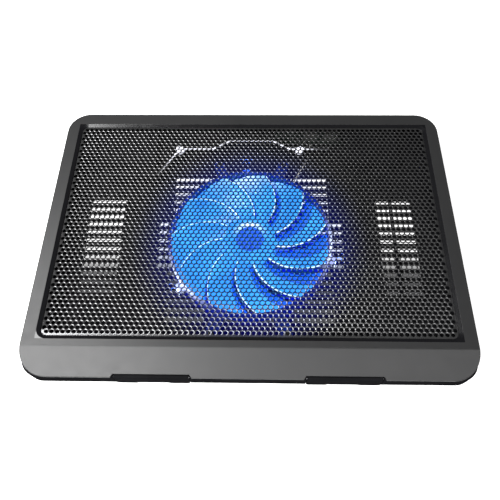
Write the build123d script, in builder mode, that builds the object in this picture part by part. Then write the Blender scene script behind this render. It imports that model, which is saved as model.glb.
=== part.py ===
"""Slim laptop cooling pad: a charcoal frame round a perforated steel panel, one 140 mm fan lit
by blue LEDs, two fold-out rear legs, two flip-up front stops, and a USB board with a slide switch.

Millimetres. +Z is up, +X is right and +Y points to the rear, away from the user. The origin is
at the middle of the footprint, on the surface that the pad stands on.
"""

import os
from math import atan2, cos, degrees, radians, sin

from build123d import *

os.makedirs("parts", exist_ok=True)

# ---------------------------------------------------------------- driving dimensions
width = 350.0  # overall, along X
depth = 253.0  # overall, along Y
top_z = 25.0  # flat top that the laptop rests on
base_z = 2.0  # underside of the base, held up by the rubber feet
parting_z = 16.0  # where the top frame meets the base
corner_r = 20.0  # plan radius of the frame's four corners
front_corner_r = 16.0  # the base's front corners stand out a little under the frame's
wall = 2.0  # moulded wall thickness
slope_run = 22.0  # depth of the sloping front strip
lip_z = 16.8  # height of the slope's front edge
fan_x, fan_y = 0.0, -7.0  # fan axis
fan_size = 140.0  # outside of the fan's ring
lug_ring_r = 88.0  # the fan's four screws, two behind it and two in front of it
blade_count = 11
leg_x = 115.0  # middle of each rear leg
stop_x = 73.4  # middle of each front stop
board_x = 55.0  # middle of the USB board

# ---------------------------------------------------------------- derived sizes
half_w, half_d = width / 2, depth / 2
crease_y = -half_d + slope_run  # where the flat top meets the slope
floor_z = base_z + wall  # inside of the base's floor
plate_z = top_z - wall  # underside of the frame's flat top
gap = 0.05  # radial running clearance

opening_w, opening_d, opening_y = 329.2, 213.4, 7.6  # at the frame's top face
bevel_w, bevel_h = 3.1, 1.2  # sloping band round the opening
window_w, window_d = opening_w - 2 * bevel_w, opening_d - 2 * bevel_w
opening_r, window_r = 8.6, 5.5

panel_t = 0.6
flange_w, flange_d = window_w + 9.0, window_d + 9.0
plateau_w, plateau_d, plateau_r = window_w - 0.8, window_d - 0.8, 5.1
plateau_z = plate_z + 0.9  # top of the panel's raised middle

post_r = 3.4
side_post_x = half_w - wall - post_r + 0.6  # the posts merge into the wall
end_post_y = half_d - wall - post_r + 0.6
post_places = [(s * side_post_x, y) for s in (-1, 1) for y in (-78.0, 5.0, 88.0)]
post_places += [(0.0, end_post_y), (0.0, crease_y - 3.5)]
screw_r, screw_clear_r, screw_head_r = 1.25, 1.5, 2.6

ring_r, ring_bore_r = fan_size / 2, 68.5
fan_bottom, fan_top = 5.0, 20.0
lug_z, lug_t = 9.0, 3.0
lug_angles = (70.0, 110.0, 250.0, 290.0)
hub_r, hub_bottom, hub_top = 22.0, 8.6, 18.6
blade_tip_r, blade_t = 67.3, 1.1
shaft_r = 1.5
led_angles, led_z = (93.0, 218.0, 345.0), 12.8

slot_pitch, slot_w = 8.2, 4.0
grille_y = fan_y + 2.1
grille_rows, long_rows = 18, 7
short_half, long_half = 70.8, 81.5
side_rows, side_slot_l, side_slot_x = 12, 32.0, 130.5

leg_w, leg_reach, leg_t = 42.0, 34.0, 5.5
leg_axis_y, leg_axis_z = 117.0, 6.0
leg_pin_r, leg_barrel_r = 1.2, 3.2
bay_w, bay_front_y, bay_rear_y, bay_z = 44.0, 79.5, 121.6, 10.0

stop_w, stop_t = 57.0, 2.6
stop_axis_y, stop_axis_z = -half_d + 1.6, 14.8
stop_barrel_r, stop_pin_r = 1.6, 0.6
stop_tip_z = 0.9
stop_bay_w, stop_bay_depth = 58.0, 3.9
notch_depth = 2.6

pcb_l, pcb_d, pcb_t, pcb_z = 64.0, 19.5, 1.6, 6.5
pcb_y = half_d - wall - 0.4 - pcb_d / 2
socket_w, socket_h, socket_l = 13.1, 5.7, 14.0
socket_xs = (board_x + 2.0, board_x + 22.0)
switch_x = board_x - 21.0
switch_travel = 4.0
socket_z = pcb_z + pcb_t + socket_h / 2


def save(part, name):
    """Names the piece and writes it as one STEP file."""
    part.label = name
    export_step(part, f"parts/{name}.step")


def polar(radius, angle, centre=(fan_x, fan_y)):
    """A plan point at a radius and an angle in degrees round the fan's axis."""
    return (centre[0] + radius * cos(radians(angle)), centre[1] + radius * sin(radians(angle)))


lug_places = [polar(lug_ring_r, angle) for angle in lug_angles]

# ---------------------------------------------------------------- base shell
def slot_cells():
    """(x, y, length) of every air slot in the base's floor."""
    cells = []
    rib_x, rib_half = 35.0, 2.0
    for row in range(grille_rows):
        y = grille_y + (row - (grille_rows - 1) / 2) * slot_pitch
        middle = abs(row - (grille_rows - 1) / 2) < long_rows / 2
        end = long_half if middle else short_half
        outer = end - rib_x - rib_half
        cells.append((fan_x, y, 2 * (rib_x - rib_half)))
        cells += [(fan_x + s * (rib_x + rib_half + outer / 2), y, outer) for s in (-1, 1)]
    for row in range(side_rows):
        y = grille_y + (row - (side_rows - 1) / 2) * slot_pitch
        cells += [(s * side_slot_x, y, side_slot_l) for s in (-1, 1)]
    return cells


baffle_points = [(-134, 58.7), (-85.5, 58.7), (-71, 83), (-64, 88.5), (-36.5, 88.5)]
baffle_points += [(-20, 98.5), (20, 98.5), (36.5, 88.5), (72, 88.5)]
support_places = [(-66.5, 86.0), (45.0, 86.0)]
board_posts = [(board_x + s * (pcb_l / 2 - 4), pcb_y - pcb_d / 2 + 4) for s in (-1, 1)]

with BuildPart() as base_shell:
    with BuildSketch(Plane.XY.offset(base_z)):
        RectangleRounded(width, depth, corner_r)
        with Locations((0, -depth / 4)):
            RectangleRounded(width, depth / 2, front_corner_r)
    extrude(amount=parting_z - base_z)
    fillet(base_shell.faces().sort_by(Axis.Z)[0].edges(), 1.6)
    with BuildSketch(Plane.XY.offset(floor_z)):
        RectangleRounded(width - 2 * wall, depth - 2 * wall, corner_r - wall)
    extrude(amount=parting_z - floor_z, mode=Mode.SUBTRACT)
    # locating tongue inside the frame's skirt
    with BuildSketch(Plane.XY.offset(parting_z - 1.0)):
        RectangleRounded(width - 2.4, depth - 2.4, corner_r - 1.2)
        RectangleRounded(width - 2 * wall, depth - 2 * wall, corner_r - wall, mode=Mode.SUBTRACT)
    extrude(amount=2.0)
    with BuildSketch(Plane.XY.offset(parting_z)):
        with Locations(*post_places):
            Circle(post_r + 0.3)
    extrude(amount=2.0, mode=Mode.SUBTRACT)
    # raised boxes over the leg bays, and the thick wall behind the stops
    with BuildSketch(Plane.XY.offset(floor_z - 1.0)):
        for s in (-1, 1):
            with Locations((s * leg_x, (bay_front_y - wall + half_d - 1) / 2)):
                Rectangle(bay_w + 2 * wall, half_d - 1 - bay_front_y + wall)
    extrude(amount=bay_z + wall - floor_z + 1.0)
    with BuildSketch(Plane.XY.offset(floor_z - 1.0)):
        for s in (-1, 1):
            with Locations((s * stop_x, -half_d + 1 + (stop_bay_depth + wall) / 2)):
                Rectangle(stop_bay_w + 8.0, stop_bay_depth + wall)
    extrude(amount=parting_z - floor_z + 1.0)
    # air slots
    with BuildSketch(Plane.XY.offset(base_z)):
        for x, y, length in slot_cells():
            with Locations((x, y)):
                RectangleRounded(length, slot_w, 1.0)
    extrude(amount=wall, mode=Mode.SUBTRACT)
    # baffle wall behind the fan, and the cable rib on the right
    with BuildSketch(Plane.XY.offset(floor_z - 0.5)):
        with BuildLine() as baffle_line:
            FilletPolyline(*baffle_points, radius=4.0)
        trace(line_width=1.3)
    extrude(amount=20.0 - floor_z + 0.5)
    with BuildSketch(Plane.XY.offset(base_z + 0.2)):
        with Locations((127.0, -4.0)):
            RectangleRounded(1.3, 132.0, 0.6)
    extrude(amount=7.0)
    # gap in the baffle for the fan's leads
    with Locations((54.0, 88.5, 7.4)):
        Box(8.6, 4.0, 3.4, mode=Mode.SUBTRACT)
    # posts: case screws, panel supports, fan and board
    with BuildSketch(Plane.XY.offset(base_z)):
        with Locations(*post_places):
            Circle(post_r)
    extrude(amount=parting_z - base_z)
    with BuildSketch(Plane.XY.offset(base_z)):
        with Locations(*support_places):
            Circle(3.6)
    extrude(amount=plateau_z - panel_t - 0.1 - base_z)
    with BuildSketch(Plane.XY.offset(base_z)):
        with Locations(*lug_places):
            Circle(4.6)
    extrude(amount=lug_z - base_z)
    with BuildSketch(Plane.XY.offset(base_z)):
        with Locations(*board_posts):
            Circle(3.0)
    extrude(amount=pcb_z - base_z)
    # screw holes and counterbores
    with BuildSketch(Plane.XY.offset(base_z)):
        with Locations(*post_places):
            Circle(screw_head_r + 0.3)
    extrude(amount=6.0, mode=Mode.SUBTRACT)
    with BuildSketch(Plane.XY.offset(base_z)):
        with Locations(*post_places):
            Circle(screw_clear_r)
    extrude(amount=parting_z - base_z, mode=Mode.SUBTRACT)
    with BuildSketch(Plane.XY.offset(base_z + 1.0)):
        with Locations(*lug_places, *board_posts):
            Circle(screw_r)
    extrude(amount=lug_z, mode=Mode.SUBTRACT)
    with BuildSketch(Plane.XY.offset(floor_z + 4)):
        with Locations(*support_places):
            Circle(1.6)
    extrude(amount=top_z, mode=Mode.SUBTRACT)
    # leg bays, open underneath
    with BuildSketch(Plane.XY.offset(base_z)):
        for s in (-1, 1):
            with Locations((s * leg_x, (bay_front_y + bay_rear_y) / 2)):
                Rectangle(bay_w, bay_rear_y - bay_front_y)
    extrude(amount=bay_z - base_z, mode=Mode.SUBTRACT)
    with BuildSketch(Plane.YZ.offset(-leg_x - bay_w / 2 - 1.8)):
        with Locations((leg_axis_y, leg_axis_z)):
            Circle(leg_pin_r)
    extrude(amount=bay_w + 3.6, mode=Mode.SUBTRACT)
    with BuildSketch(Plane.YZ.offset(leg_x - bay_w / 2 - 1.8)):
        with Locations((leg_axis_y, leg_axis_z)):
            Circle(leg_pin_r)
    extrude(amount=bay_w + 3.6, mode=Mode.SUBTRACT)
    # stop bays, open at the front, and their pin holes
    with BuildSketch(Plane.XY.offset(base_z - 1)):
        for s in (-1, 1):
            with Locations((s * stop_x, -half_d + stop_bay_depth / 2 - 1)):
                Rectangle(stop_bay_w, stop_bay_depth + 2)
    extrude(amount=parting_z - base_z + 3, mode=Mode.SUBTRACT)
    for s in (-1, 1):
        with BuildSketch(Plane.YZ.offset(s * stop_x - stop_bay_w / 2 - 3)):
            with Locations((stop_axis_y, stop_axis_z)):
                Circle(stop_pin_r)
        extrude(amount=stop_bay_w + 6, mode=Mode.SUBTRACT)
    # rear cut-outs for the two sockets and the switch knob
    with BuildSketch(Plane.XZ.offset(-half_d - 1)):
        for x in socket_xs:
            with Locations((x, socket_z)):
                RectangleRounded(socket_w + 0.6, socket_h + 0.6, 0.6)
        with Locations((switch_x + switch_travel / 2, pcb_z + pcb_t + 2.4)):
            RectangleRounded(switch_travel + 4.6, 3.4, 0.5)
    extrude(amount=wall + 2, mode=Mode.SUBTRACT)
save(base_shell.part, "base_shell")

# ---------------------------------------------------------------- top frame
slope_angle = degrees(atan2(top_z - lip_z, slope_run))


def above_slope(drop):
    """Outline, in the YZ plane, of all that lies over the slope moved down by drop."""
    rise = (top_z - lip_z) / slope_run
    far = 12.0
    return [
        (crease_y + far, top_z - drop + far * rise),
        (-half_d - far, lip_z - drop - far * rise),
        (-half_d - far, top_z + far),
        (crease_y + far, top_z + far),
    ]


with BuildPart() as frame_hollow:
    with BuildSketch(Plane.XY.offset(parting_z - 1)):
        RectangleRounded(width - 2 * wall, depth - 2 * wall, corner_r - wall)
    extrude(amount=plate_z - parting_z + 1)
    with BuildSketch(Plane.YZ):
        with BuildLine():
            Polyline(*above_slope(wall / cos(radians(slope_angle))), close=True)
        make_face()
    extrude(amount=width, both=True, mode=Mode.SUBTRACT)

peg_places = [(s * (window_w / 2 + 2.3), y) for s in (-1, 1) for y in (-58.0, -22.0, 32.0, 66.0)]
peg_places += [(x, opening_y + s * (window_d / 2 + 2.3)) for s in (-1, 1) for x in (-110.0, -37.0, 37.0, 110.0)]

with BuildPart() as top_frame:
    with BuildSketch(Plane.XY.offset(parting_z)):
        RectangleRounded(width, depth, corner_r)
    extrude(amount=top_z - parting_z)
    with BuildSketch(Plane.YZ):
        with BuildLine():
            Polyline(*above_slope(0.0), close=True)
        make_face()
    extrude(amount=width, both=True, mode=Mode.SUBTRACT)
    creases = top_frame.edges().filter_by(Axis.X).sort_by(Axis.Z)[-2:]
    fillet(creases.sort_by(Axis.Y)[0], 4.0)
    upper = [e for f in top_frame.faces() if f.normal_at().Z > 0.5 for e in f.edges()]
    fillet([e for e in upper if sum(e.is_same(other) for other in upper) == 1], 0.6)
    add(frame_hollow.part, mode=Mode.SUBTRACT)
    # rebate that takes the base's tongue
    with BuildSketch(Plane.XY.offset(parting_z - 1)):
        RectangleRounded(width - 2.2, depth - 2.2, corner_r - 1.1)
        RectangleRounded(width - 2 * wall - 1, depth - 2 * wall - 1, corner_r - wall - 0.5, mode=Mode.SUBTRACT)
    extrude(amount=2.2, mode=Mode.SUBTRACT)
    # window, with a sloping band round its upper edge
    with BuildSketch(Plane.XY.offset(parting_z)):
        with Locations((0, opening_y)):
            RectangleRounded(window_w, window_d, window_r)
    extrude(amount=top_z - parting_z, mode=Mode.SUBTRACT)
    with BuildSketch(Plane.XY.offset(top_z)):
        with Locations((0, opening_y)):
            RectangleRounded(opening_w, opening_d, opening_r)
    with BuildSketch(Plane.XY.offset(top_z - bevel_h)):
        with Locations((0, opening_y)):
            RectangleRounded(window_w, window_d, window_r)
    loft(ruled=True, mode=Mode.SUBTRACT)
    # screw posts, then pegs for the panel's push-on clips
    with BuildSketch(Plane.XY.offset(parting_z + 0.02)):
        with Locations(*post_places):
            Circle(post_r)
    extrude(amount=plate_z - parting_z - 2.0 + 0.3)
    with BuildSketch(Plane.XY.offset(plate_z - 3)):
        with Locations(*post_places[:-1]):
            Circle(post_r)
    extrude(amount=3.2)
    with BuildSketch(Plane.XY.offset(parting_z)):
        with Locations(*post_places):
            Circle(screw_r)
    extrude(amount=4.0, mode=Mode.SUBTRACT)
    with BuildSketch(Plane.XY.offset(plate_z - 2.6)):
        with Locations(*peg_places):
            Circle(1.2)
    extrude(amount=2.8)
    # notches over the stops' barrels, with slanted ends
    for s in (-1, 1):
        wide, narrow = 31.0, 29.2
        with BuildSketch(Plane.XY.offset(parting_z - 1)):
            with BuildLine():
                Polyline(
                    (s * stop_x - wide, -half_d - 1),
                    (s * stop_x + wide, -half_d - 1),
                    (s * stop_x + wide, -half_d),
                    (s * stop_x + narrow, -half_d + notch_depth),
                    (s * stop_x - narrow, -half_d + notch_depth),
                    (s * stop_x - wide, -half_d),
                    close=True,
                )
            make_face()
        extrude(amount=6.0, mode=Mode.SUBTRACT)
        with BuildSketch(Plane.XY.offset(parting_z - 1)):
            with Locations((s * stop_x, -half_d + stop_bay_depth / 2)):
                Rectangle(2 * narrow, stop_bay_depth)
        extrude(amount=2.0, mode=Mode.SUBTRACT)
save(top_frame.part, "top_frame")

# ---------------------------------------------------------------- perforated panel
with BuildPart() as mesh_panel:
    with BuildSketch(Plane.XY.offset(plate_z - 0.05 - panel_t)):
        with Locations((0, opening_y)):
            RectangleRounded(flange_w, flange_d, 8.0)
    extrude(amount=panel_t)
    with BuildSketch(Plane.XY.offset(plate_z - 0.05 - panel_t)):
        with Locations((0, opening_y)):
            RectangleRounded(plateau_w, plateau_d, plateau_r)
    extrude(amount=plateau_z - plate_z + 0.05 + panel_t)
    fillet(mesh_panel.faces().sort_by(Axis.Z)[-1].edges(), 0.7)
    with BuildSketch(Plane.XY.offset(plate_z - 0.05 - panel_t)):
        with Locations((0, opening_y)):
            RectangleRounded(plateau_w - 2 * panel_t, plateau_d - 2 * panel_t, plateau_r - panel_t)
    extrude(amount=plateau_z - panel_t - (plate_z - 0.05 - panel_t), mode=Mode.SUBTRACT)
    with BuildSketch(Plane.XY.offset(plate_z - 2)):
        with Locations(*peg_places):
            Circle(1.5)
    extrude(amount=3, mode=Mode.SUBTRACT)
save(mesh_panel.part, "mesh_panel")

with BuildPart() as panel_clips:
    with BuildSketch(Plane.XY.offset(plate_z - 0.05 - panel_t - 0.5)):
        with Locations(*peg_places):
            Circle(2.5)
            Circle(1.2, mode=Mode.SUBTRACT)
    extrude(amount=0.5)
save(panel_clips.part, "panel_clips")

# ---------------------------------------------------------------- case screws and feet
with BuildPart() as case_screws:
    with BuildSketch(Plane.XY.offset(base_z + 4.4)):
        with Locations(*post_places):
            Circle(screw_head_r)
    extrude(amount=1.6)
    chamfer(case_screws.edges().filter_by(GeomType.CIRCLE).group_by(Axis.Z)[0], 0.4)
    with BuildSketch(Plane.XY.offset(base_z + 5.9)):
        with Locations(*post_places):
            Circle(screw_r - 0.05)
    extrude(amount=19.2 - base_z - 5.9)
    with BuildSketch(Plane.XY.offset(base_z + 4.4)):
        with Locations(*post_places):
            Rectangle(2.8, 0.6)
            Rectangle(0.6, 2.8)
    extrude(amount=0.9, mode=Mode.SUBTRACT)
save(case_screws.part, "case_screws")

foot_places = [(i * 153.0, j * 106.0) for i in (-1, 1) for j in (-1, 1)]
with BuildPart() as rubber_feet:
    with BuildSketch():
        with Locations(*foot_places):
            Circle(7.0)
    extrude(amount=base_z)
    chamfer(rubber_feet.edges().group_by(Axis.Z)[0], 0.6)
save(rubber_feet.part, "rubber_feet")

# ---------------------------------------------------------------- fan frame
spoke_angles = (60.0, 150.0, 240.0, 330.0)
with BuildPart() as fan_frame:
    with BuildSketch(Plane.XY.offset(fan_bottom)):
        with Locations((fan_x, fan_y)):
            Circle(ring_r)
            Circle(ring_bore_r, mode=Mode.SUBTRACT)
    extrude(amount=fan_top - fan_bottom)
    # arms to the four screw lugs
    with BuildSketch(Plane.XY.offset(lug_z)):
        for angle in lug_angles:
            with Locations(Location(polar(79.0, angle) + (0,), (0, 0, angle))):
                SlotOverall(27.0, 10.0)
        with Locations((fan_x, fan_y)):
            Circle(ring_bore_r, mode=Mode.SUBTRACT)
    extrude(amount=lug_t)
    with BuildSketch(Plane.XY.offset(lug_z)):
        with Locations(*lug_places):
            Circle(screw_clear_r)
    extrude(amount=lug_t, mode=Mode.SUBTRACT)
    # motor base, spokes and bearing tube
    with BuildSketch(Plane.XY.offset(fan_bottom)):
        with Locations((fan_x, fan_y)):
            Circle(hub_r)
        for angle in spoke_angles:
            with Locations(Location(polar(45.0, angle) + (0,), (0, 0, angle))):
                Rectangle(48.0, 4.6)
    extrude(amount=1.6)
    with BuildSketch(Plane.XY.offset(fan_bottom + 1.0)):
        with Locations((fan_x, fan_y)):
            Circle(4.2)
    extrude(amount=9.2)
    with BuildSketch(Plane.XY.offset(fan_bottom + 0.6)):
        with Locations((fan_x, fan_y)):
            Circle(3.0)
    extrude(amount=10.0, mode=Mode.SUBTRACT)
    # pockets that carry the lamps, open to the bore
    with BuildSketch(Plane.XY.offset(fan_bottom + 4.0)):
        for angle in led_angles:
            with Locations(Location(polar(71.6, angle) + (0,), (0, 0, angle))):
                Rectangle(5.2, 7.6)
    extrude(amount=7.4)
    for angle in led_angles:
        with Locations(Location(polar(70.0, angle) + (led_z,), (0, 0, angle))):
            Cylinder(1.55, 14.0, rotation=(0, 90, 0), mode=Mode.SUBTRACT)
    # notch for the leads in the ring
    with Locations(Location(polar(69.2, spoke_angles[0]) + (7.4,), (0, 0, spoke_angles[0]))):
        Box(4.0, 3.4, 1.7, mode=Mode.SUBTRACT)
save(fan_frame.part, "fan_frame")

with BuildPart() as fan_screws:
    with BuildSketch(Plane.XY.offset(lug_z + lug_t)):
        with Locations(*lug_places):
            Circle(2.6)
    extrude(amount=1.7)
    fillet(fan_screws.edges().group_by(Axis.Z)[-1], 0.8)
    with BuildSketch(Plane.XY.offset(base_z + 1.4)):
        with Locations(*lug_places):
            Circle(screw_r - 0.05)
    extrude(amount=lug_z + lug_t - base_z - 1.3)
    with BuildSketch(Plane.XY.offset(lug_z + lug_t + 0.9)):
        with Locations(*lug_places):
            Rectangle(2.6, 0.6)
            Rectangle(0.6, 2.6)
    extrude(amount=2.0, mode=Mode.SUBTRACT)
save(fan_screws.part, "fan_screws")

# ---------------------------------------------------------------- impeller
blade_sweep, blade_span = 32.0, 29.5
blade_phase = 13.4


def blade_point(u, v):
    """A point of the blade's mid surface; u runs root to tip, v from the high edge to the low one."""
    radius = hub_r - 1.2 + u * (blade_tip_r + 1.0 - hub_r + 1.2)
    angle = blade_phase - blade_sweep * (1 - u**1.3) + blade_span * v
    drop = (7.0 + 1.6 * u) * (0.55 * v + 0.45 * v**2)
    return Vector(*polar(radius, angle), 17.9 - drop)


with BuildPart() as fan_impeller:
    with BuildSketch(Plane.XY.offset(hub_bottom)):
        with Locations((fan_x, fan_y)):
            Circle(hub_r)
    extrude(amount=hub_top - hub_bottom)
    fillet(fan_impeller.faces().sort_by(Axis.Z)[-1].edges(), 1.2)
    grid = [[blade_point(i / 8, j / 6) for j in range(7)] for i in range(9)]
    skin = Face.make_surface_from_array_of_points(grid)
    blade = Solid.thicken(skin, blade_t)
    with BuildPart(mode=Mode.PRIVATE) as sleeve:
        with BuildSketch(Plane.XY):
            with Locations((fan_x, fan_y)):
                Circle(blade_tip_r)
                Circle(hub_r - 0.8, mode=Mode.SUBTRACT)
        extrude(amount=30)
    trimmed = blade & sleeve.part
    for k in range(blade_count):
        add(trimmed.rotate(Axis((fan_x, fan_y, 0), (0, 0, 1)), k * 360 / blade_count))
    with BuildSketch(Plane.XY.offset(hub_bottom - 1)):
        with Locations((fan_x, fan_y)):
            Circle(hub_r - 1.5)
    extrude(amount=hub_top - 1.6 - hub_bottom + 1, mode=Mode.SUBTRACT)
    # boss that grips the shaft
    with BuildSketch(Plane.XY.offset(hub_top - 2.6)):
        with Locations((fan_x, fan_y)):
            Circle(3.4)
    extrude(amount=1.8)
    with BuildSketch(Plane.XY.offset(hub_top - 3.0)):
        with Locations((fan_x, fan_y)):
            Circle(shaft_r)
    extrude(amount=2.2, mode=Mode.SUBTRACT)
save(fan_impeller.part, "fan_impeller")


def round_piece(name, outer, inner, low, high, soften=0.0):
    """A plain round piece on the fan's axis, with a bore when inner is not zero."""
    with BuildPart() as piece:
        with BuildSketch(Plane.XY.offset(low)):
            with Locations((fan_x, fan_y)):
                Circle(outer)
                if inner:
                    Circle(inner, mode=Mode.SUBTRACT)
        extrude(amount=high - low)
        if soften:
            chamfer(piece.faces().sort_by(Axis.Z)[-1].outer_wire().edges(), soften)
    save(piece.part, name)


yoke_r = hub_r - 1.5
round_piece("rotor_yoke", yoke_r, yoke_r - 0.9, hub_bottom + 0.3, hub_top - 1.6)
round_piece("rotor_magnet", yoke_r - 0.9, yoke_r - 2.9, hub_bottom + 0.5, hub_top - 3.0)
round_piece("bearing_sleeve", 3.0, shaft_r + gap, fan_bottom + 2.0, fan_bottom + 10.0, 0.3)
round_piece("hub_label", 12.0, 0, hub_top, hub_top + 0.12)
round_piece("fan_circuit_board", 16.0, 4.3, fan_bottom + 1.6, fan_bottom + 2.6)

with BuildPart() as fan_shaft:
    with BuildSketch(Plane.XY.offset(fan_bottom + 0.9)):
        with Locations((fan_x, fan_y)):
            Circle(shaft_r)
    extrude(amount=hub_top - 0.8 - fan_bottom - 0.9)
    with BuildSketch(Plane.XY.offset(fan_bottom + 1.3)):
        with Locations((fan_x, fan_y)):
            Circle(shaft_r + 1)
            Circle(1.1, mode=Mode.SUBTRACT)
    extrude(amount=0.4, mode=Mode.SUBTRACT)
save(fan_shaft.part, "fan_shaft")
round_piece("retaining_ring", 2.5, 1.1, fan_bottom + 1.3, fan_bottom + 1.7)

pole_count = 4
with BuildPart() as stator_core:
    with BuildSketch(Plane.XY.offset(fan_bottom + 4.6)):
        with Locations((fan_x, fan_y)):
            Circle(7.5)
            with PolarLocations(10.5, pole_count):
                Rectangle(9.0, 4.6)
            with PolarLocations(14.9, pole_count):
                RectangleRounded(2.4, 11.0, 0.6)
            Circle(4.2, mode=Mode.SUBTRACT)
    extrude(amount=3.6)
save(stator_core.part, "stator_core")

with BuildPart() as stator_windings:
    for k in range(pole_count):
        angle = k * 360 / pole_count
        with Locations(Location(polar(11.0, angle) + (fan_bottom + 6.4,), (0, 0, angle))):
            Box(5.4, 8.2, 6.0)
            Box(7.0, 4.6, 3.6, mode=Mode.SUBTRACT)
    fillet(stator_windings.edges().filter_by(Axis.Z).group_by(SortBy.LENGTH)[-1], 1.0)
save(stator_windings.part, "stator_windings")

# ---------------------------------------------------------------- lamps and leads
wire_r, wire_z, led_wire_z = 0.55, 7.3, 6.0
for number, angle in enumerate(led_angles, start=1):
    with BuildPart() as led:
        with Locations(Location(polar(69.2, angle) + (led_z,), (0, 0, angle))):
            Sphere(1.5)
            Cylinder(1.5, 5.2, rotation=(0, 90, 0), align=(Align.CENTER, Align.CENTER, Align.MIN))
        with Locations(Location(polar(74.2, angle) + (led_z,), (0, 0, angle))):
            Cylinder(1.9, 0.8, rotation=(0, 90, 0), align=(Align.CENTER, Align.CENTER, Align.MIN))
        with Locations(Location(polar(75.2, angle) + (led_wire_z + wire_r,), (0, 0, angle))):
            with Locations((0, -0.9), (0, 0.9)):
                Box(0.5, 0.5, led_z - led_wire_z, align=(Align.CENTER, Align.CENTER, Align.MIN))
    save(led.part, f"led_{number}")

with BuildPart() as led_leads:
    with BuildLine(Plane.XY.offset(led_wire_z)) as led_path:
        CenterArc((fan_x, fan_y), 75.2, led_angles[2] - 361.0, led_angles[1] - led_angles[2] + 362.0)
    with BuildSketch(Plane(origin=led_path.line @ 0, z_dir=led_path.line % 0)):
        Circle(wire_r)
    sweep()
save(led_leads.part, "led_leads")


def lead(name, points, bend):
    """A round insulated lead along a bent path."""
    with BuildPart() as wire:
        with BuildLine() as path:
            FilletPolyline(*points, radius=bend)
        with BuildSketch(Plane(origin=path.line @ 0, z_dir=path.line % 0)):
            Circle(wire_r)
        sweep()
    save(wire.part, name)


for name, shift in (("fan_lead_plus", -0.75), ("fan_lead_minus", 0.75)):
    spoke = spoke_angles[0]
    aside = (shift * -sin(radians(spoke)), shift * cos(radians(spoke)))
    inner, outer = polar(14.5, spoke), polar(78.5, spoke)
    lead(
        name,
        [
            (inner[0] + aside[0], inner[1] + aside[1], fan_bottom + 2.6 + wire_r),
            (inner[0] * 0.4 + outer[0] * 0.6 + aside[0], inner[1] * 0.4 + outer[1] * 0.6 + aside[1], wire_z),
            (outer[0] + aside[0], outer[1] + aside[1], wire_z),
            (board_x - 2 * shift, 92.0, wire_z),
            (board_x - 2 * shift, 100.0, pcb_z + pcb_t + wire_r),
            (board_x - 2 * shift, 107.0, pcb_z + pcb_t + wire_r),
        ],
        3.0,
    )

# ---------------------------------------------------------------- USB board
with BuildPart() as usb_board:
    with BuildSketch(Plane.XY.offset(pcb_z)):
        with Locations((board_x, pcb_y)):
            Rectangle(pcb_l, pcb_d)
        with Locations(*board_posts):
            Circle(screw_clear_r, mode=Mode.SUBTRACT)
    extrude(amount=pcb_t)
save(usb_board.part, "usb_board")

with BuildPart() as board_components:
    for x, y, size in (
        (-22.5, 0.0, (3.2, 1.6, 1.2)),
        (-7.0, 5.5, (2.0, 1.2, 0.8)),
        (-10.5, -5.5, (5.0, 4.0, 1.5)),
        (8.0, -7.0, (2.0, 1.2, 0.8)),
        (12.0, -7.0, (2.0, 1.2, 0.8)),
        (20.0, -7.0, (3.2, 1.6, 1.0)),
    ):
        with Locations((board_x + x, pcb_y + y, pcb_z + pcb_t)):
            Box(*size, align=(Align.CENTER, Align.CENTER, Align.MIN))
save(board_components.part, "board_components")

with BuildPart() as board_screws:
    with BuildSketch(Plane.XY.offset(pcb_z + pcb_t)):
        with Locations(*board_posts):
            Circle(2.3)
    extrude(amount=1.4)
    fillet(board_screws.edges().group_by(Axis.Z)[-1], 0.6)
    with BuildSketch(Plane.XY.offset(base_z + 1.4)):
        with Locations(*board_posts):
            Circle(screw_r - 0.05)
    extrude(amount=pcb_z + pcb_t - base_z - 1.3)
save(board_screws.part, "board_screws")

for name, x in zip(("usb_socket_in", "usb_socket_out"), socket_xs):
    with BuildPart() as socket:
        with Locations((x, half_d - 0.1 - socket_l / 2, socket_z)):
            Box(socket_w, socket_l, socket_h)
        fillet(socket.edges().filter_by(Axis.Y), 0.5)
        with Locations((x, half_d - 0.1 - socket_l / 2 + 0.4, socket_z)):
            Box(socket_w - 0.8, socket_l, socket_h - 0.8, mode=Mode.SUBTRACT)
    save(socket.part, name)

with BuildPart() as socket_tongues:
    for x in socket_xs:
        with Locations((x, half_d - 0.1 - socket_l + 0.4, socket_z)):
            Box(socket_w - 0.8, 2.0, socket_h - 0.8, align=(Align.CENTER, Align.MIN, Align.CENTER))
        with Locations((x, half_d - 0.1 - socket_l + 0.4, socket_z + 1.0)):
            Box(11.0, 11.2, 1.6, align=(Align.CENTER, Align.MIN, Align.CENTER))
save(socket_tongues.part, "socket_tongues")

# ---------------------------------------------------------------- slide switch
knob_z = pcb_z + pcb_t + 2.4
body_x = switch_x + switch_travel / 2
with BuildPart() as switch_body:
    with Locations((body_x, 121.3, pcb_z + pcb_t)):
        Box(13.0, 5.8, 5.0, align=(Align.CENTER, Align.CENTER, Align.MIN))
    with Locations((body_x, 122.0, knob_z)):
        Box(10.4, 2.6, 3.5, mode=Mode.SUBTRACT)
    with Locations((body_x, 124.0, knob_z)):
        Box(8.6, 2.0, 3.2, mode=Mode.SUBTRACT)
save(switch_body.part, "switch_body")

with BuildPart() as switch_slider:
    with Locations((switch_x, 122.0, knob_z)):
        Box(5.6, 2.0, 2.8)
    with Locations((switch_x, 124.4, knob_z)):
        Box(4.0, 3.6, 2.5)
    fillet(switch_slider.edges().group_by(Axis.Y)[-1], 0.4)
    with Locations((switch_x - 1.0, 126.2, knob_z), (switch_x, 126.2, knob_z), (switch_x + 1.0, 126.2, knob_z)):
        Box(0.4, 0.6, 1.8, mode=Mode.SUBTRACT)
save(switch_slider.part, "switch_slider")

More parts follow.
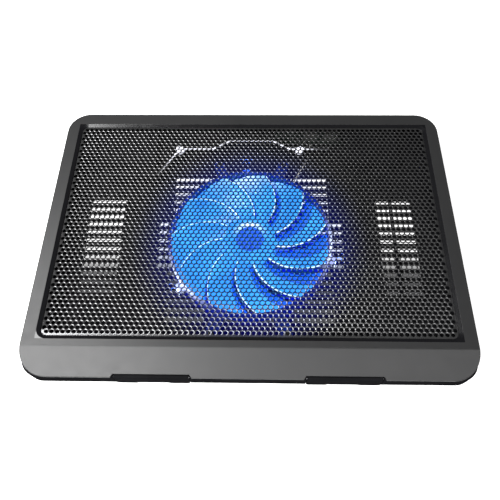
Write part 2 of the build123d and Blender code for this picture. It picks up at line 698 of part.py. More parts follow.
# ---------------------------------------------------------------- rear legs
leg_low, leg_high = leg_axis_z - leg_barrel_r, leg_axis_z + 1.4
for side, s in (("left", -1), ("right", 1)):
    x0 = s * leg_x
    with BuildPart() as leg:
        with BuildSketch(Plane.YZ.offset(x0 - leg_w / 2)):
            with Locations((leg_axis_y, leg_axis_z)):
                Circle(leg_barrel_r)
            with Locations((leg_axis_y - leg_reach / 2, (leg_low + leg_high) / 2)):
                Rectangle(leg_reach, leg_high - leg_low)
        extrude(amount=leg_w)
        fillet(leg.faces().sort_by(Axis.Y)[0].edges().filter_by(Axis.Z), 4.0)
        # finger grip and hollow underside
        with BuildSketch(Plane.XY.offset(leg_low)):
            with Locations((x0, leg_axis_y - leg_reach / 2 - 1.0)):
                RectangleRounded(leg_w - 10.0, leg_reach - 14.0, 2.0)
                Rectangle(2.0, leg_reach - 14.0, mode=Mode.SUBTRACT)
        extrude(amount=2.6, mode=Mode.SUBTRACT)
        with BuildSketch(Plane.XY.offset(leg_low)):
            with Locations((x0, leg_axis_y - leg_reach)):
                Rectangle(24.0, 6.0)
        extrude(amount=3.2, mode=Mode.SUBTRACT)
        with BuildSketch(Plane.YZ.offset(x0 - leg_w / 2)):
            with Locations((leg_axis_y, leg_axis_z)):
                Circle(leg_pin_r + gap)
        extrude(amount=leg_w, mode=Mode.SUBTRACT)
    save(leg.part, f"leg_{side}")

    with BuildPart() as tip:
        with Locations((x0, leg_axis_y - leg_reach - 1.0 + 2.0, leg_low + 1.6)):
            Box(23.9, 4.0, 3.2)
        fillet(tip.faces().sort_by(Axis.Y)[0].edges(), 0.8)
    save(tip.part, f"leg_{side}_tip")

    with BuildPart() as pin:
        with BuildSketch(Plane.YZ.offset(x0 - bay_w / 2 - 1.7)):
            with Locations((leg_axis_y, leg_axis_z)):
                Circle(leg_pin_r)
        extrude(amount=bay_w + 3.4)
        chamfer(pin.edges().filter_by(GeomType.CIRCLE), 0.25)
    save(pin.part, f"leg_{side}_pin")

# ---------------------------------------------------------------- front stops
for side, s in (("left", -1), ("right", 1)):
    x0 = s * stop_x
    with BuildPart() as stop:
        with BuildSketch(Plane.YZ.offset(x0 - stop_w / 2)):
            with Locations((stop_axis_y, stop_axis_z)):
                Circle(stop_barrel_r)
            with Locations((-half_d + stop_t / 2, (stop_axis_z + stop_tip_z) / 2)):
                Rectangle(stop_t, stop_axis_z - stop_tip_z)
        extrude(amount=stop_w)
        fillet(stop.faces().sort_by(Axis.Z)[0].edges().filter_by(Axis.Y), 2.5)
        # shallow finger scoop along the lower edge
        with BuildSketch(Plane.XZ.offset(half_d + 1)):
            with Locations((x0, stop_tip_z)):
                SlotOverall(26.0, 3.2)
        extrude(amount=-1.9, mode=Mode.SUBTRACT)
        with BuildSketch(Plane.YZ.offset(x0 - stop_w / 2)):
            with Locations((stop_axis_y, stop_axis_z)):
                Circle(stop_pin_r + gap)
        extrude(amount=stop_w, mode=Mode.SUBTRACT)
    save(stop.part, f"stop_{side}")

    with BuildPart() as pin:
        with BuildSketch(Plane.YZ.offset(x0 - stop_bay_w / 2 - 2.8)):
            with Locations((stop_axis_y, stop_axis_z)):
                Circle(stop_pin_r)
        extrude(amount=stop_bay_w + 5.6)
    save(pin.part, f"stop_{side}_pin")
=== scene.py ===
import math

import bmesh
import bpy
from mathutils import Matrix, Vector, geometry


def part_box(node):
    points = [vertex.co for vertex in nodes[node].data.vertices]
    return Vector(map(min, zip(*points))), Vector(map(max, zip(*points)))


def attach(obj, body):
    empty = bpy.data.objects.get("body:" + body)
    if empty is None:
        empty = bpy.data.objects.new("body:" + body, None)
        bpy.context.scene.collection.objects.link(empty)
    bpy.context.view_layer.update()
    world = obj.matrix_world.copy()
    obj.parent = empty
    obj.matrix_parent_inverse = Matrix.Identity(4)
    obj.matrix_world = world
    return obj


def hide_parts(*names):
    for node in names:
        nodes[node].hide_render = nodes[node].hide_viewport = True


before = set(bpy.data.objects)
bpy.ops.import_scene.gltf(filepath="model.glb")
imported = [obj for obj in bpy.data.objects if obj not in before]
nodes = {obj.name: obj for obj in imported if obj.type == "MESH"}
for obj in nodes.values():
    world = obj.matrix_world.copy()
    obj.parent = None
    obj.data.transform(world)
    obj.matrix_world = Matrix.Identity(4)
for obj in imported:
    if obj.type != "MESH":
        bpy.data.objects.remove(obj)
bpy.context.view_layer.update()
scene = bpy.context.scene

# ---------------------------------------------------------------- places taken from the frame
FAN_Y = sum(v.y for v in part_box("fan_shaft")) / 2  # fan axis, in metres
FAN_X = sum(v.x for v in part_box("fan_shaft")) / 2
PANEL_LO, PANEL_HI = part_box("mesh_panel")
HIDDEN_EDGE = 0.0045  # the panel's rim lies this far under the frame
BAND_W = 0.0031  # sloping black band round the window
BAND_INSET = 0.00015
BAND_HALF_X = (PANEL_HI.x - PANEL_LO.x) / 2 - HIDDEN_EDGE + BAND_W - BAND_INSET
BAND_HALF_Y = (PANEL_HI.y - PANEL_LO.y) / 2 - HIDDEN_EDGE + BAND_W - BAND_INSET
LED_ANGLES = (93.0, 218.0, 345.0)  # degrees round the fan
LED_RADIUS, LED_GLOW_Z = 0.078, 0.0205
BLADES, BLADE_PHASE, BLADE_SWEEP, BLADE_SPAN = 11, 13.4, 32.0, 29.5
BLADE_ROOT, BLADE_REACH = 20.8, 47.5  # mm


# ---------------------------------------------------------------- node helpers
class Nodes:
    """A short way to write a material's node tree."""

    def __init__(self, name):
        self.mat = bpy.data.materials.new(name)
        self.mat.use_nodes = True
        self.tree = self.mat.node_tree
        self.tree.nodes.clear()
        self.out = self.tree.nodes.new("ShaderNodeOutputMaterial")
        self.coord = self.tree.nodes.new("ShaderNodeTexCoord").outputs["Object"]

    def link(self, value, socket):
        if isinstance(value, bpy.types.NodeSocket):
            self.tree.links.new(value, socket)
        else:
            socket.default_value = value

    def math(self, op, a, b=0.0, c=0.0, clamp=False):
        n = self.tree.nodes.new("ShaderNodeMath")
        n.operation = op
        n.use_clamp = clamp
        for i, v in enumerate((a, b, c)):
            self.link(v, n.inputs[i])
        return n.outputs[0]

    def ramp(self, value, lo, hi, to_lo=0.0, to_hi=1.0, smooth=False):
        n = self.tree.nodes.new("ShaderNodeMapRange")
        n.interpolation_type = "SMOOTHSTEP" if smooth else "LINEAR"
        self.link(value, n.inputs["Value"])
        for key, v in (("From Min", lo), ("From Max", hi), ("To Min", to_lo), ("To Max", to_hi)):
            self.link(v, n.inputs[key])
        return n.outputs["Result"]

    def noise(self, scale, detail=2.0, rough=0.5, vector=None, stretch=None):
        n = self.tree.nodes.new("ShaderNodeTexNoise")
        vec = vector or self.coord
        if stretch:
            m = self.tree.nodes.new("ShaderNodeMapping")
            m.inputs["Scale"].default_value = stretch
            self.tree.links.new(vec, m.inputs["Vector"])
            vec = m.outputs["Vector"]
        self.tree.links.new(vec, n.inputs["Vector"])
        n.inputs["Scale"].default_value = scale
        n.inputs["Detail"].default_value = detail
        n.inputs["Roughness"].default_value = rough
        return n.outputs["Fac"]

    def voronoi(self, scale, feature="F1"):
        n = self.tree.nodes.new("ShaderNodeTexVoronoi")
        n.feature = feature
        self.tree.links.new(self.coord, n.inputs["Vector"])
        n.inputs["Scale"].default_value = scale
        return n.outputs["Distance"]

    def wave(self, scale, axis="X"):
        n = self.tree.nodes.new("ShaderNodeTexWave")
        n.bands_direction = axis
        self.tree.links.new(self.coord, n.inputs["Vector"])
        n.inputs["Scale"].default_value = scale
        return n.outputs["Fac"]

    def mix(self, fac, a, b):
        n = self.tree.nodes.new("ShaderNodeMix")
        n.data_type = "RGBA"
        self.link(fac, n.inputs[0])
        for v, socket in ((a, n.inputs[6]), (b, n.inputs[7])):
            if isinstance(v, bpy.types.NodeSocket):
                self.tree.links.new(v, socket)
            else:
                socket.default_value = (*v, 1.0)
        return n.outputs[2]

    def xyz(self):
        n = self.tree.nodes.new("ShaderNodeSeparateXYZ")
        self.tree.links.new(self.coord, n.inputs[0])
        return n.outputs

    def bump(self, height, strength, distance, before=None):
        n = self.tree.nodes.new("ShaderNodeBump")
        n.inputs["Strength"].default_value = strength
        n.inputs["Distance"].default_value = distance
        self.tree.links.new(height, n.inputs["Height"])
        if before is not None:
            self.tree.links.new(before, n.inputs["Normal"])
        return n.outputs["Normal"]

    def surface(self, **inputs):
        n = self.tree.nodes.new("ShaderNodeBsdfPrincipled")
        for key, v in inputs.items():
            socket = n.inputs[key.replace("_", " ")]
            if isinstance(v, tuple) and len(v) == 3 and socket.type == "RGBA":
                v = (*v, 1.0)
            self.link(v, socket)
        self.tree.links.new(n.outputs[0], self.out.inputs["Surface"])
        return n

    def polar(self):
        """Distance from the fan's axis in mm, and angle round it in degrees."""
        p = self.xyz()
        x, y = self.math("SUBTRACT", p["X"], FAN_X), self.math("SUBTRACT", p["Y"], FAN_Y)
        squares = self.math("ADD", self.math("MULTIPLY", x, x), self.math("MULTIPLY", y, y))
        radius = self.math("MULTIPLY", self.math("SQRT", squares), 1000.0)
        angle = self.math("MULTIPLY", self.math("ARCTAN2", y, x), 180 / math.pi)
        return radius, angle, p["Z"]

    def near_angle(self, angle, centre, half):
        """1 at an angle and 0 from half degrees away, all in degrees."""
        turned = self.math("SUBTRACT", angle, centre)
        wrapped = self.math("WRAP", turned, 180.0, -180.0)
        return self.ramp(self.math("ABSOLUTE", wrapped), 0.0, half, 1.0, 0.0, smooth=True)

    def both(self, a, b):
        return self.math("MULTIPLY", a, b)


def shade(color, factor):
    return tuple(min(1.0, c * factor) for c in color)


def moulded(name, color, rough, grain=1800.0, depth=0.00004, spread=0.25, spec=0.5):
    """Injection-moulded plastic: fine spark-eroded grain, faint flow marks, uneven sheen."""
    m = Nodes(name)
    flow = m.noise(26.0, 3.0)
    base = m.mix(m.ramp(flow, 0.3, 0.7), shade(color, 1 - spread), shade(color, 1 + spread))
    sheen = m.ramp(m.noise(90.0, 4.0), 0.3, 0.7, rough - 0.06, rough + 0.06)
    fine = m.noise(grain, 3.0, 0.6)
    m.surface(Base_Color=base, Roughness=sheen, Normal=m.bump(fine, 0.5, depth),
              Specular_IOR_Level=spec)
    return m.mat


def metal(name, color, rough, stretch=(1, 1, 1), lines=900.0, depth=0.00001):
    """Metal with drawn or ground lines and a little tarnish."""
    m = Nodes(name)
    stain = m.noise(140.0, 4.0)
    base = m.mix(m.ramp(stain, 0.35, 0.75), color, shade(color, 0.72))
    scratch = m.noise(lines, 3.0, 0.6, stretch=stretch)
    m.surface(Base_Color=base, Metallic=1.0, Roughness=m.ramp(scratch, 0.3, 0.7, rough - 0.07, rough + 0.1),
              Normal=m.bump(scratch, 0.4, depth))
    return m.mat


def give(material, *names):
    for name in names:
        slots = nodes[name].data.materials
        if len(slots) == 0:
            slots.append(material)
        for i in range(len(slots)):
            nodes[name].material_slots[i].link = "OBJECT"
            nodes[name].material_slots[i].material = material


# ---------------------------------------------------------------- case materials
def frame_material():
    """Charcoal satin plastic on the frame, with a polished black band round the window."""
    m = Nodes("frame_satin")
    p = m.xyz()
    cx, cy = (PANEL_LO.x + PANEL_HI.x) / 2, (PANEL_LO.y + PANEL_HI.y) / 2
    dx = m.math("SUBTRACT", m.math("ABSOLUTE", m.math("SUBTRACT", p["X"], cx)), BAND_HALF_X)
    dy = m.math("SUBTRACT", m.math("ABSOLUTE", m.math("SUBTRACT", p["Y"], cy)), BAND_HALF_Y)
    inside = m.ramp(m.math("MAXIMUM", dx, dy), -0.0001, 0.0001, 1.0, 0.0)
    flow = m.noise(22.0, 3.0)
    satin = m.mix(m.ramp(flow, 0.3, 0.7), (0.022, 0.022, 0.0225), (0.025, 0.025, 0.0255))
    base = m.mix(inside, satin, (0.005, 0.005, 0.006))
    fine = m.noise(2600.0, 3.0, 0.6)
    sheen = m.ramp(m.noise(120.0, 4.0), 0.3, 0.7, 0.39, 0.43)
    rough = m.math("SUBTRACT", sheen, m.math("MULTIPLY", inside, 0.2))
    m.surface(Base_Color=base, Roughness=rough, Normal=m.bump(fine, 0.3, 0.00002))
    return m.mat


def base_material():
    """Black moulded plastic, with the lamps' blue light painted on the floor round the fan, and painted
    highlights along the tops of the inner ribs.
    """
    m = Nodes("base_moulded")
    radius, _, z = m.polar()
    flow = m.noise(24.0, 3.0)
    base = m.mix(m.ramp(flow, 0.3, 0.7), (0.006, 0.006, 0.007), (0.010, 0.010, 0.011))
    fine = m.noise(1500.0, 3.0, 0.6)
    # painted lamp light: a blue glow on the inside floor round the fan, strongest near the fan's edge
    indoors = m.both(m.ramp(z, 0.0036, 0.0040), m.ramp(z, 0.012, 0.016, 1.0, 0.0))
    near = m.ramp(radius, 66.0, 112.0, 1.0, 0.0, smooth=True)
    cloud = m.ramp(m.noise(38.0, 3.0), 0.3, 0.7, 0.65, 1.2)
    glow = m.both(m.both(indoors, m.math("POWER", near, 1.8)), cloud)
    core = m.ramp(radius, 64.0, 74.0, 1.0, 0.0, smooth=True)
    tint = m.mix(core, (0.0, 0.001, 0.10), (0.0, 0.010, 0.60))
    # painted highlight: the tops of the inner ribs are made near white and glow, fading out towards the sides
    rim = m.both(m.ramp(z, 0.0195, 0.0199), m.ramp(m.noise(160.0, 3.0), 0.3, 0.55, 0.35, 1.0))
    beyond = m.math("ABSOLUTE", m.math("ADD", m.xyz()["X"], 0.010))
    rim = m.both(rim, m.ramp(beyond, 0.060, 0.072, 1.0, 0.08))
    m.surface(Base_Color=m.mix(rim, base, (0.75, 0.76, 0.80)),
              Roughness=m.ramp(m.noise(80.0, 4.0), 0.3, 0.7, 0.5, 0.62),
              Normal=m.bump(fine, 0.6, 0.00004), Specular_IOR_Level=0.0,
              Emission_Color=m.mix(m.math("GREATER_THAN", rim, 0.01), tint, (0.85, 0.87, 1.0)),
              Emission_Strength=m.math("MAXIMUM", glow, m.math("MULTIPLY", rim, 1.3)))
    return m.mat


give(frame_material(), "top_frame")
give(base_material(), "base_shell")
give(moulded("stop_black", (0.009, 0.009, 0.010), 0.42, spec=0.0), "stop_left", "stop_right", "leg_left",
     "leg_right")
give(moulded("rubber_black", (0.016, 0.016, 0.016), 0.82, grain=900.0, depth=0.00008), "rubber_feet",
     "leg_left_tip", "leg_right_tip")
give(moulded("part_black", (0.02, 0.02, 0.021), 0.4), "switch_body", "board_components")
give(moulded("knob_black", (0.018, 0.018, 0.018), 0.5, grain=1200.0), "switch_slider")
give(moulded("nylon_natural", (0.72, 0.71, 0.66), 0.5, spread=0.05), "socket_tongues", "retaining_ring")
give(moulded("magnet_bonded", (0.03, 0.028, 0.027), 0.7, grain=2500.0, depth=0.00006), "rotor_magnet")
give(metal("screw_oxide", (0.06, 0.06, 0.065), 0.45), "case_screws", "fan_screws", "board_screws")
give(metal("steel_ground", (0.62, 0.62, 0.64), 0.26, (1, 12, 12)), "leg_left_pin", "leg_right_pin",
     "stop_left_pin", "stop_right_pin", "fan_shaft")
give(metal("steel_sheet", (0.42, 0.42, 0.44), 0.38, (8, 1, 1)), "panel_clips", "rotor_yoke", "stator_core")
give(metal("socket_nickel", (0.66, 0.65, 0.62), 0.24, (1, 8, 1)), "usb_socket_in", "usb_socket_out")
give(metal("bearing_bronze", (0.62, 0.42, 0.20), 0.42, lines=2400.0), "bearing_sleeve")


def board_material():
    """Black solder mask over copper tracks, with tinned pads."""
    m = Nodes("board_mask")
    tracks = m.ramp(m.voronoi(420.0, "DISTANCE_TO_EDGE"), 0.03, 0.07, 1.0, 0.0)
    pads = m.ramp(m.voronoi(330.0), 0.10, 0.14, 1.0, 0.0)
    mask = m.mix(tracks, (0.006, 0.010, 0.008), (0.012, 0.022, 0.016))
    base = m.mix(pads, mask, (0.55, 0.53, 0.48))
    m.surface(Base_Color=base, Roughness=m.ramp(tracks, 0.0, 1.0, 0.3, 0.22),
              Normal=m.bump(m.math("ADD", tracks, pads), 0.5, 0.00004))
    return m.mat


def winding_material():
    """Enamelled copper, wound in fine turns."""
    m = Nodes("winding_copper")
    turns = m.wave(900.0, "Z")
    base = m.mix(turns, (0.30, 0.10, 0.035), (0.62, 0.26, 0.10))
    m.surface(Base_Color=base, Metallic=0.9, Roughness=m.ramp(turns, 0.0, 1.0, 0.45, 0.25),
              Normal=m.bump(turns, 0.8, 0.0001))
    return m.mat


def lead_material(name, color):
    """Soft insulation, slightly scuffed."""
    m = Nodes(name)
    base = m.mix(m.ramp(m.noise(300.0, 4.0), 0.4, 0.8), color, shade(color, 0.6))
    m.surface(Base_Color=base, Roughness=m.ramp(m.noise(700.0, 2.0), 0.3, 0.7, 0.4, 0.6),
              Normal=m.bump(m.noise(1800.0, 2.0), 0.4, 0.00003))
    return m.mat


give(board_material(), "usb_board", "fan_circuit_board")
give(winding_material(), "stator_windings")
give(lead_material("lead_black", (0.012, 0.012, 0.012)), "fan_lead_minus", "led_leads")
give(lead_material("lead_pale", (0.62, 0.62, 0.60)), "fan_lead_plus")


# ---------------------------------------------------------------- lit fan materials
def blade_material():
    """Tinted clear blades with the lamps' light painted in as a glow: bright faces, painted shade on the low
    part of each blade, and painted white highlights along each edge and on an arc round the hub.
    """
    m = Nodes("blade_lit")
    radius, angle, _ = m.polar()
    u = m.math("DIVIDE", m.math("SUBTRACT", radius, BLADE_ROOT), BLADE_REACH, clamp=True)
    swept = m.math("MULTIPLY", m.math("SUBTRACT", 1.0, m.math("POWER", u, 1.3)), BLADE_SWEEP)
    lead = m.math("SUBTRACT", BLADE_PHASE, swept)
    pitch = 360.0 / BLADES
    turns = m.math("DIVIDE", m.math("SUBTRACT", angle, lead), pitch)
    across = m.math("FRACT", m.math("ADD", turns, 20.0))
    from_edge = m.both(m.math("MULTIPLY", across, math.radians(pitch)), radius)
    on_blade = m.ramp(radius, 22.6, 25.0, 0.0, 1.0, smooth=True)
    # painted highlight: a white line along the raised edge of every blade
    edge_highlight = m.both(m.ramp(from_edge, 0.6, 1.2, 1.0, 0.0, smooth=True), on_blade)
    cloud = m.ramp(m.noise(45.0, 3.0), 0.3, 0.7)
    bright = m.mix(cloud, (0.028, 0.24, 0.86), (0.060, 0.44, 1.0))
    # painted shade: the low, trailing part of each blade is made deep blue, over more of the blade on the right
    shaded = m.near_angle(angle, -22.0, 125.0)
    start = m.ramp(shaded, 0.0, 1.0, 0.92, 0.46)
    trailing_shade = m.both(m.ramp(m.math("SUBTRACT", across, start), -0.03, 0.05, smooth=True), on_blade)
    face = m.mix(trailing_shade, bright, (0.0, 0.002, 0.50))
    # painted highlight: the blades' outer part at the back is lightened to pale blue
    rear_lamp_highlight = m.both(m.near_angle(angle, 92.0, 42.0), m.ramp(radius, 54.0, 66.0, smooth=True))
    face = m.mix(m.math("MULTIPLY", rear_lamp_highlight, 0.75), face, (0.55, 0.80, 1.0))
    # painted highlight: a white arc round the hub on its rear side
    from_arc = m.math("ABSOLUTE", m.math("SUBTRACT", radius, 14.0))
    hub_arc_highlight = m.both(m.near_angle(angle, 92.0, 88.0), m.ramp(from_arc, 1.2, 3.8, 1.0, 0.0, smooth=True))
    white = m.math("MAXIMUM", edge_highlight, hub_arc_highlight)
    lit = m.mix(white, face, (0.72, 0.93, 1.0))
    strength = m.ramp(white, 0.0, 1.0, 1.0, 1.5)
    m.surface(Base_Color=m.mix(cloud, (0.02, 0.16, 0.55), (0.03, 0.22, 0.70)),
              Roughness=m.ramp(m.noise(160.0, 3.0), 0.3, 0.7, 0.14, 0.26),
              Normal=m.bump(m.noise(500.0, 2.0), 0.25, 0.00004), Emission_Color=lit, Emission_Strength=strength)
    return m.mat


def ring_material():
    """Tinted clear ring and spokes with the lamps' light painted in: a dim blue glow, dimmer at the outer edge,
    and painted white highlights beside two of the three lamps.
    """
    m = Nodes("ring_lit")
    radius, angle, z = m.polar()
    # painted highlight: white arcs on the ring's upper part beside the lamps
    right_arc = m.math("MULTIPLY", m.near_angle(angle, -8.0, 34.0), 0.85)
    beside = m.math("MAXIMUM", m.near_angle(angle, 216.0, 34.0), right_arc)
    on_ring = m.ramp(radius, 64.0, 67.0, 0.0, 1.0, smooth=True)
    high = m.ramp(z, 0.010, 0.019)
    white = m.both(m.both(beside, on_ring), high)
    cloud = m.ramp(m.noise(60.0, 3.0), 0.3, 0.7)
    deep = m.mix(cloud, (0.0, 0.004, 0.22), (0.0, 0.010, 0.34))
    deep = m.mix(m.ramp(radius, 70.5, 73.0), deep, (0.0, 0.0, 0.07))
    lit = m.mix(white, deep, (0.66, 0.78, 1.0))
    m.surface(Base_Color=m.mix(cloud, (0.004, 0.012, 0.12), (0.004, 0.02, 0.18)),
              Roughness=m.ramp(m.noise(140.0, 3.0), 0.3, 0.7, 0.16, 0.3),
              Normal=m.bump(m.noise(700.0, 2.0), 0.3, 0.00004), Emission_Color=lit,
              Emission_Strength=m.ramp(white, 0.0, 1.0, 0.55, 2.2))
    return m.mat


def label_material():
    """Blank film disc over the hub, dark blue, with the lamps' light painted in as a mottled blue glow."""
    m = Nodes("label_film")
    mottle = m.ramp(m.noise(420.0, 3.0), 0.35, 0.65)
    tint = m.mix(mottle, (0.004, 0.045, 0.62), (0.035, 0.22, 1.0))
    m.surface(Base_Color=(0.01, 0.04, 0.3), Roughness=m.ramp(mottle, 0.0, 1.0, 0.3, 0.45), Emission_Color=tint,
              Emission_Strength=m.ramp(m.noise(60.0), 0.3, 0.7, 0.9, 1.2), Normal=m.bump(mottle, 0.2, 0.00003))
    return m.mat


def lamp_material():
    """Clear lens of a lit lamp."""
    m = Nodes("lamp_lens")
    haze = m.ramp(m.noise(900.0, 2.0), 0.3, 0.7)
    m.surface(Base_Color=(0.5, 0.7, 1.0), Roughness=m.ramp(haze, 0.0, 1.0, 0.08, 0.2),
              Emission_Color=m.mix(haze, (0.45, 0.65, 1.0), (0.75, 0.88, 1.0)),
              Emission_Strength=m.ramp(haze, 0.0, 1.0, 2.2, 3.2))
    return m.mat


give(blade_material(), "fan_impeller")
give(ring_material(), "fan_frame")
give(label_material(), "hub_label")
give(lamp_material(), "led_1", "led_2", "led_3")


# ---------------------------------------------------------------- perforated panel
PITCH_X, PITCH_Y = 0.00436, 0.00359
HOLE = 0.72  # hole's width as a share of the pitch
SHEET = 0.0006
CROWN = 0.00028  # how far the web's edge is rolled over
FLANGE = HIDDEN_EDGE + 0.0004  # hidden border outside the raised middle
RIM = 0.0016  # how far in from the edge the sheet starts to bend down
PANEL_CORNER, FLANGE_CORNER = 0.0051, 0.008
CELL_MARGIN = 0.0012  # cells may reach this far past the raised middle
OUTLINE_MARGIN = 0.0019  # the plain border starts here, outside the last cells


def rounded_outline(half_x, half_y, radius, centre, per_corner=9):
    points = []
    for cx, cy, start in ((1, 1, 0), (-1, 1, 90), (-1, -1, 180), (1, -1, 270)):
        for i in range(per_corner):
            a = math.radians(start + 90 * i / (per_corner - 1))
            points.append((centre[0] + cx * (half_x - radius) + radius * math.cos(a),
                           centre[1] + cy * (half_y - radius) + radius * math.sin(a)))
    return points


def depth_inside(x, y, half_x, half_y, radius, centre):
    """Distance in from a rounded rectangle's outline; negative outside it."""
    qx, qy = abs(x - centre[0]) - (half_x - radius), abs(y - centre[1]) - (half_y - radius)
    outside = math.hypot(max(qx, 0.0), max(qy, 0.0)) + min(max(qx, qy), 0.0)
    return radius - outside


def encloses(loop, point):
    """Whether a plan point lies inside a closed loop of vertices."""
    inside = False
    for k, v in enumerate(loop):
        a, b = v.co, loop[k - 1].co
        if (a.y > point.y) != (b.y > point.y):
            if point.x < a.x + (b.x - a.x) * (point.y - a.y) / (b.y - a.y):
                inside = not inside
    return inside


def perforated_panel():
    """Steel sheet with staggered hexagonal holes; its edge is bent down under the frame."""
    centre = ((PANEL_LO.x + PANEL_HI.x) / 2, (PANEL_LO.y + PANEL_HI.y) / 2)
    half_x, half_y = (PANEL_HI.x - PANEL_LO.x) / 2 - FLANGE, (PANEL_HI.y - PANEL_LO.y) / 2 - FLANGE
    corner = PANEL_CORNER
    top, flange_top = PANEL_HI.z, PANEL_LO.z + SHEET

    def height(x, y):
        d = depth_inside(x, y, half_x, half_y, corner, centre)
        if d >= RIM:
            return top
        if d <= 0:
            return flange_top
        t = 1 - d / RIM
        return top - (top - flange_top) * (1 - math.sqrt(max(0.0, 1 - t * t)))

    bm = bmesh.new()
    cache = {}

    def vert(x, y, drop=0.0):
        key = (round(x * 1e7), round(y * 1e7))
        if key not in cache:
            cache[key] = bm.verts.new((x, y, height(x, y) - drop))
        return cache[key]

    # corners of a pointed-top cell, and of the hole in it
    def cell(cx, cy, share):
        w, h = PITCH_X / 2 * share, PITCH_Y * share
        return [(cx, cy + h * 2 / 3), (cx - w, cy + h / 3), (cx - w, cy - h / 3),
                (cx, cy - h * 2 / 3), (cx + w, cy - h / 3), (cx + w, cy + h / 3)]

    rows = int(2 * half_y / PITCH_Y) + 2
    cols = int(2 * half_x / PITCH_X) + 2
    cell_reach = (half_x + CELL_MARGIN, half_y + CELL_MARGIN, corner + CELL_MARGIN, centre)
    edges = {}
    for j in range(-rows, rows + 1):
        for i in range(-cols, cols + 1):
            cx = centre[0] + (i + 0.5 * (j % 2)) * PITCH_X
            cy = centre[1] + j * PITCH_Y
            outer = cell(cx, cy, 1.0)
            if min(depth_inside(x, y, *cell_reach) for x, y in outer) < 0.0:
                continue
            ring = [vert(*p) for p in outer]
            hole = [vert(*p, CROWN) for p in cell(cx, cy, HOLE)]
            for k in range(6):
                n = (k + 1) % 6
                bm.faces.new((ring[k], ring[n], hole[n], hole[k]))
                key = frozenset((ring[k], ring[n]))
                edges[key] = None if key in edges else (ring[k], ring[n])
    # the cells' outer boundary, followed as one loop
    follow = dict(pair for pair in edges.values() if pair)
    start = next(iter(follow))
    loop, at = [start], follow[start]
    while at is not start:
        loop.append(at)
        at = follow[at]
    if len(loop) != len(follow):
        raise RuntimeError("the panel's cells have more than one boundary")
    outline = [vert(*p) for p in rounded_outline(half_x + OUTLINE_MARGIN, half_y + OUTLINE_MARGIN,
                                                 corner + OUTLINE_MARGIN, centre)]
    border = [vert(*p) for p in rounded_outline(half_x + FLANGE, half_y + FLANGE, FLANGE_CORNER, centre)]
    every = outline + loop
    first = len(outline)
    rings = [(k, (k + 1) % first) for k in range(first)]
    rings += [(first + k, first + (k + 1) % len(loop)) for k in range(len(loop))]
    plan = [v.co.xy for v in every]
    spots, _, faces, source, _, _ = geometry.delaunay_2d_cdt(plan, rings, [], 0, 1e-8)
    for face in faces:
        middle = (spots[face[0]] + spots[face[1]] + spots[face[2]]) / 3
        if encloses(loop, middle):
            continue
        bm.faces.new([every[source[i][0]] for i in face])
    for k in range(len(outline)):
        n = (k + 1) % len(outline)
        bm.faces.new((outline[k], border[k], border[n], outline[n]))
    bm.normal_update()
    # thickness: a second skin below, and walls along every open edge
    tops = list(bm.faces)
    is_top = set(tops)
    lower = {}
    for v in list(bm.verts):
        rolled = v.co.z < height(v.co.x, v.co.y) - 1e-6
        lower[v] = bm.verts.new(v.co - Vector((0, 0, SHEET - (CROWN if rolled else 0))))
    for f in tops:
        bm.faces.new([lower[v] for v in reversed(f.verts)])
    for f in tops:
        for l in f.loops:
            if sum(other in is_top for other in l.edge.link_faces) == 1:
                a, b = l.vert, l.link_loop_next.vert
                bm.faces.new((b, a, lower[a], lower[b]))
    mesh = bpy.data.meshes.new("perforated_panel")
    bm.to_mesh(mesh)
    bm.free()
    mesh.shade_smooth()
    mesh.set_sharp_from_angle(angle=math.radians(40))
    obj = bpy.data.objects.new("perforated_panel", mesh)
    scene.collection.objects.link(obj)
    return obj


def panel_material():
    """Black baked paint over punched steel: a slight orange peel and a semi-gloss skin, with the lamps' blue
    light painted on over and round the fan.
    """
    m = Nodes("panel_paint")
    peel = m.noise(900.0, 2.0)
    patch = m.noise(18.0, 3.0)
    radius, _, _ = m.polar()
    # painted lamp light: over and round the fan the paint is tinted blue and given a blue glow
    over = m.ramp(radius, 62.0, 68.5, 1.0, 0.0, smooth=True)
    near = m.ramp(radius, 66.0, 108.0, 1.0, 0.0, smooth=True)
    base = m.mix(m.ramp(patch, 0.3, 0.7), (0.115, 0.115, 0.117), (0.145, 0.145, 0.147))
    base = m.mix(over, m.mix(near, base, (0.085, 0.095, 0.135)), (0.008, 0.036, 0.085))
    spill = m.mix(over, (0.0, 0.001, 0.045), (0.0, 0.014, 0.085))
    reach = m.math("MAXIMUM", over, m.math("POWER", near, 1.5))
    m.surface(Base_Color=base, Metallic=0.85, Roughness=m.ramp(m.noise(60.0, 3.0), 0.3, 0.7, 0.20, 0.28),
              Normal=m.bump(peel, 0.3, 0.00005), Emission_Color=spill,
              Emission_Strength=m.both(reach, m.ramp(patch, 0.3, 0.7, 0.8, 1.1)))
    return m.mat


panel = perforated_panel()
panel.data.materials.append(panel_material())
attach(panel, "housing")
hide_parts("mesh_panel")

# ---------------------------------------------------------------- smooth shading on the CAD nodes
for node in nodes.values():
    node.data.shade_smooth()
    node.data.set_sharp_from_angle(angle=math.radians(32))


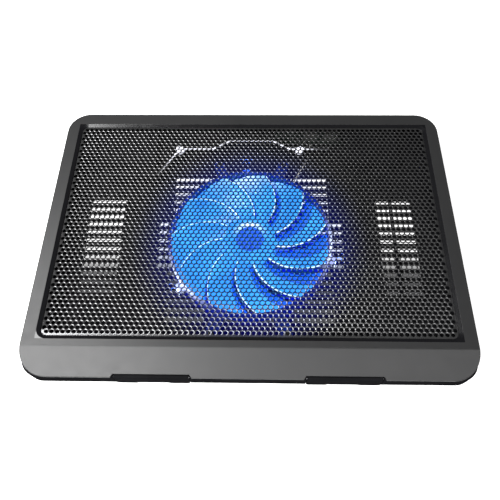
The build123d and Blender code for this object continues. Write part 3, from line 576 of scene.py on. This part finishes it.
# ---------------------------------------------------------------- floor
def floor_material():
    """Plain white floor; under the pad it has painted shade, darkening to the front, and the lamps' colour
    painted round the fan.
    """
    m = Nodes("floor_pale")
    radius, _, _ = m.polar()
    p = m.xyz()
    # painted shadow: under the pad the floor is dark and its glow fades towards the front
    aside = m.ramp(m.math("ABSOLUTE", p["X"]), 0.160, 0.168, 1.0, 0.0)
    under = m.both(aside, m.ramp(m.math("ABSOLUTE", p["Y"]), 0.100, 0.112, 1.0, 0.0))
    light = m.ramp(p["Y"], -0.036, 0.0, 0.05, 1.0, smooth=True)
    # painted lamp light: blue round the fan under the pad
    lamps = m.ramp(radius, 76.0, 100.0, 1.0, 0.0, smooth=True)
    tint = m.mix(lamps, (1.0, 1.0, 1.0), (0.70, 0.76, 1.0))
    tint = m.mix(m.ramp(radius, 62.0, 70.0, 1.0, 0.0), tint, (0.04, 0.12, 0.95))
    speck = m.ramp(m.noise(3.0, 2.0), 0.3, 0.7)
    pale = m.mix(speck, (0.80, 0.80, 0.80), (0.82, 0.82, 0.82))
    m.surface(Base_Color=m.mix(under, pale, (0.04, 0.04, 0.05)), Roughness=0.9, Specular_IOR_Level=0.0,
              Emission_Color=m.mix(under, (1.0, 1.0, 1.0), tint),
              Emission_Strength=m.ramp(under, 0.0, 1.0, 0.9, m.math("MULTIPLY", light, 1.3)))
    return m.mat


FLOOR_HALF, FLOOR_Z = 4, -0.0005
floor_mesh = bpy.data.meshes.new("floor")
floor_corners = [(x * FLOOR_HALF, y * FLOOR_HALF, FLOOR_Z) for x, y in ((-1, -1), (1, -1), (1, 1), (-1, 1))]
floor_mesh.from_pydata(floor_corners, [], [(0, 1, 2, 3)])
floor = bpy.data.objects.new("floor", floor_mesh)
scene.collection.objects.link(floor)
floor_mesh.materials.append(floor_material())

# ---------------------------------------------------------------- light
world = bpy.data.worlds.new("studio")
scene.world = world
world.use_nodes = True
world.node_tree.nodes["Background"].inputs["Color"].default_value = (1.0, 1.0, 1.0, 1.0)
world.node_tree.nodes["Background"].inputs["Strength"].default_value = 0.08


def area_light(name, place, target, size, power):
    data = bpy.data.lights.new(name, "AREA")
    data.shape = "RECTANGLE"
    data.size, data.size_y = size
    data.energy = power
    lamp = bpy.data.objects.new(name, data)
    scene.collection.objects.link(lamp)
    lamp.location = place
    lamp.rotation_euler = (Vector(target) - Vector(place)).to_track_quat("-Z", "Y").to_euler()


area_light("softbox_left", (-0.64, 0.17, 1.0), (-0.15, -0.05, 0.0), (0.5, 0.4), 9.5)
area_light("softbox_front", (-0.66, -0.58, 1.0), (-0.1, -0.1, 0.0), (0.8, 0.6), 21.0)
area_light("softbox_strip", (0.22, -0.62, 1.0), (0.1, -0.1, 0.0), (1.2, 0.4), 5.0)
for number, angle in enumerate(LED_ANGLES, start=1):
    data = bpy.data.lights.new(f"lamp_{number}", "POINT")
    data.energy = 0.012
    data.color = (0.05, 0.2, 1.0)
    data.shadow_soft_size = 0.003
    lamp = bpy.data.objects.new(f"lamp_{number}", data)
    scene.collection.objects.link(lamp)
    turn = math.radians(angle)
    lamp.location = (FAN_X + LED_RADIUS * math.cos(turn), FAN_Y + LED_RADIUS * math.sin(turn), LED_GLOW_Z)

# ---------------------------------------------------------------- camera
camera_data = bpy.data.cameras.new("camera")
camera_data.lens, camera_data.sensor_width = 37.33, 36.0
camera_data.clip_start, camera_data.clip_end = 0.01, 20.0
camera = bpy.data.objects.new("camera", camera_data)
scene.collection.objects.link(camera)
camera.location = (0.008460, -0.222200, 0.406900)
camera.rotation_euler = [math.radians(a) for a in (27.7700, 0.7710, 0.8360)]
scene.camera = camera
scene.view_settings.view_transform = "Standard"
